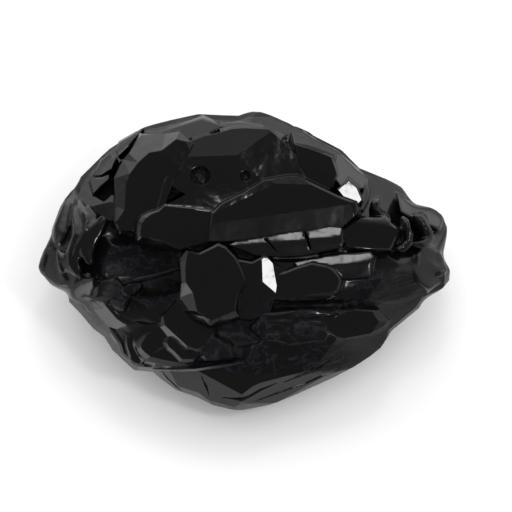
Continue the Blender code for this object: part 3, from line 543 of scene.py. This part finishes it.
# obsidian, tumbled and buffed by hand: a black glass whose flats are mirrors and whose hollows
# keep a dull skin with pale blue-grey flow veins. A Mix node's inputs are 0 the share, 2 and 3
# its two numbers, and 6 and 7 its two colours
def volcanicGlass(plane):
    material = bpy.data.materials.new("buffed obsidian")
    material.use_nodes = True
    tree = material.node_tree
    tree.nodes.clear()
    place = addNode(tree, "ShaderNodeTexCoord")
    turned = addNode(tree, "ShaderNodeMapping", {
        "Rotation": (math.radians(-sheet["lean"]), 0, 0), "Scale": (1 / mm, 1 / mm, 1 / mm),
        "Location": tuple(-plane.shift),
    }, {"Vector": place.outputs["Object"]})
    spot = turned.outputs["Vector"]
    dull = skinMask(tree, spot)
    colour = addNode(tree, "ShaderNodeMix", {
        "data_type": "RGBA", 6: toLinear(glassLook["body"]), 7: toLinear(glassLook["veins"]),
    }, {0: flowVeins(tree, spot, dull).outputs["Value"]})
    shine = addNode(tree, "ShaderNodeMix", {
        "data_type": "FLOAT", 2: glassLook["polishedShine"], 3: glassLook["dullShine"],
    }, {0: dull})
    bump = addNode(tree, "ShaderNodeBump", {"Distance": mm},
                   {"Height": relief(tree, spot, dull).outputs["Value"]})
    shader = addNode(tree, "ShaderNodeBsdfPrincipled", {"IOR": glassLook["ior"]}, {
        "Base Color": colour.outputs[2],
        "Roughness": roughness(tree, dull).outputs[0],
        "Specular IOR Level": shine.outputs[0],
        "Normal": bump.outputs["Normal"],
    })
    addNode(tree, "ShaderNodeOutputMaterial", links={"Surface": shader.outputs["BSDF"]})
    print("glass made:", len(tree.nodes), "nodes")
    return material


# matt white emulsion, rolled on: it gives a soft shadow and no gloss
floorLook = {
    "size": 6000.0,        # mm
    "colour": "#f2f2f2",
    "roughness": 1.0,
    "shine": 0.0,
}


def makeFloor():
    bpy.ops.object.select_all(action="DESELECT")
    bpy.ops.mesh.primitive_plane_add(size=floorLook["size"] * mm, location=(0, 0, 0))
    floor = bpy.context.object
    floor.name = "floor"
    paint = bpy.data.materials.new("matt white paint")
    paint.use_nodes = True
    shader = paint.node_tree.nodes["Principled BSDF"]
    shader.inputs["Base Color"].default_value = toLinear(floorLook["colour"])
    shader.inputs["Roughness"].default_value = floorLook["roughness"]
    shader.inputs["Specular IOR Level"].default_value = floorLook["shine"]
    floor.data.materials.append(paint)
    floor.visible_glossy = False   # the stone mirrors the room instead
    print("floor laid")
    return floor


# azimuth is turned from the camera's side toward the right, elevation is over the floor, in
# degrees; distances and sizes are in mm; brightness is what a mirror would show
lights = {
    "overhead": {
        "azimuth": 0, "elevation": 88, "away": 1500, "size": (2400, 2400),
        "brightness": 0.9, "mirrored": False,
    },
    "frontFill": {
        "azimuth": 350, "elevation": 30, "away": 1800, "size": (2400, 1400),
        "brightness": 1.1, "mirrored": False,
    },
    "leftFill": {
        "azimuth": 235, "elevation": 30, "away": 1800, "size": (2400, 1400),
        "brightness": 0.8, "mirrored": False,
    },
    "rightFill": {
        "azimuth": 115, "elevation": 30, "away": 1800, "size": (2400, 1400),
        "brightness": 0.8, "mirrored": False,
    },
    "key": {
        "azimuth": 47, "elevation": 58, "away": 900, "size": (110, 130),
        "brightness": 19.0, "mirrored": True,
    },
    "back": {
        "azimuth": 170, "elevation": 72, "away": 900, "size": (120, 120),
        "brightness": 9.0, "mirrored": True,
    },
}
lampPower = 4.0   # watts for each square metre of a lamp and each step of its brightness


def direction(azimuth, elevation):
    a, e = math.radians(azimuth), math.radians(elevation)
    return Vector((math.sin(a) * math.cos(e), -math.cos(a) * math.cos(e), math.sin(e)))


def makeLight(name, what):
    wide, high = (side * mm for side in what["size"])
    lamp = bpy.data.lights.new(name, "AREA")
    lamp.shape = "RECTANGLE"
    lamp.size = wide
    lamp.size_y = high
    lamp.energy = what["brightness"] * lampPower * wide * high
    light = bpy.data.objects.new(name, lamp)
    bpy.context.scene.collection.objects.link(light)
    toward = direction(what["azimuth"], what["elevation"])
    light.location = toward * what["away"] * mm
    light.rotation_euler = toward.to_track_quat("Z", "Y").to_euler()
    light.visible_camera = False
    light.visible_glossy = what["mirrored"]


# the room the stone mirrors is dark round the viewer and has a pale glow in these directions:
# azimuth, elevation, degrees to where it starts to fade and to where it ends, brightness
roomLook = {
    "dark": 0.13,
    "glows": {
        "floorBelow": (0, -80, 36, 68, 0.54),
        "farWall": (192, 14, 26, 50, 1.14),
        "nearLeft": (302, -33, 8, 22, 1.9),
        "right": (95, -5, 15, 42, 0.57),
        "farRight": (140, 4, 18, 42, 0.92),
        "ceiling": (180, 60, 5, 12, 0.5),
        "left": (270, -5, 12, 34, 0.65),
    },
}


def makeRoom():
    world = bpy.data.worlds.new("pale room")
    bpy.context.scene.world = world
    world.use_nodes = True
    tree = world.node_tree
    tree.nodes.clear()
    place = addNode(tree, "ShaderNodeTexCoord")
    shade = None
    for azimuth, elevation, start, end, brightness in roomLook["glows"].values():
        toward = addNode(tree, "ShaderNodeVectorMath", {
            "operation": "DOT_PRODUCT", 1: direction(azimuth, elevation),
        }, {0: place.outputs["Generated"]})
        glow = addNode(tree, "ShaderNodeMapRange", {
            "interpolation_type": "SMOOTHSTEP",
            "From Min": math.cos(math.radians(end)), "From Max": math.cos(math.radians(start)),
            "To Min": roomLook["dark"], "To Max": brightness,
        }, {"Value": toward.outputs["Value"]})
        if shade is None:
            shade = glow.outputs["Result"]
        else:
            shade = addNode(tree, "ShaderNodeMath", {"operation": "MAXIMUM"},
                            {0: shade, 1: glow.outputs["Result"]}).outputs["Value"]
    light = addNode(tree, "ShaderNodeBackground", {"Color": (1, 1, 1, 1)}, {"Strength": shade})
    addNode(tree, "ShaderNodeOutputWorld", links={"Surface": light.outputs["Background"]})
    print("room lit:", len(roomLook["glows"]), "glows")


def makeCamera(stone):
    toward = direction(0, view["elevation"])
    tilt = math.radians(view["elevation"])
    up = Vector((0, math.sin(tilt), math.cos(tilt)))
    right = Vector((1, 0, 0))
    rights = [vertex.co.dot(right) for vertex in stone.data.vertices]
    ups = [vertex.co.dot(up) for vertex in stone.data.vertices]
    pixel = view["frameWidth"] * mm / view["picture"]
    half = view["picture"] / 2
    aimRight = (min(rights) + max(rights)) / 2 + (half - view["middle"][0]) * pixel
    aimUp = (min(ups) + max(ups)) / 2 - (half - view["middle"][1]) * pixel
    lens = bpy.data.cameras.new("camera")
    lens.lens = view["lens"]
    lens.sensor_width = view["sensor"]
    lens.clip_end = view["farthest"] * mm
    camera = bpy.data.objects.new("camera", lens)
    bpy.context.scene.collection.objects.link(camera)
    away = view["lens"] * view["frameWidth"] * mm / view["sensor"]
    depths = [vertex.co.dot(toward) for vertex in stone.data.vertices]
    middleDepth = sum(depths) / len(depths)
    camera.location = right * aimRight + up * aimUp + toward * (away + middleDepth)
    camera.rotation_euler = toward.to_track_quat("Z", "Y").to_euler()
    bpy.context.scene.camera = camera


stone = makeStone()
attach(stone, "root")
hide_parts("obsidian")
floor = makeFloor()
for lightName, what in lights.items():
    makeLight(lightName, what)
makeRoom()
makeCamera(stone)
bpy.context.scene.view_settings.view_transform = "Standard"
print("lights and camera stand:", len(lights), "lamps")
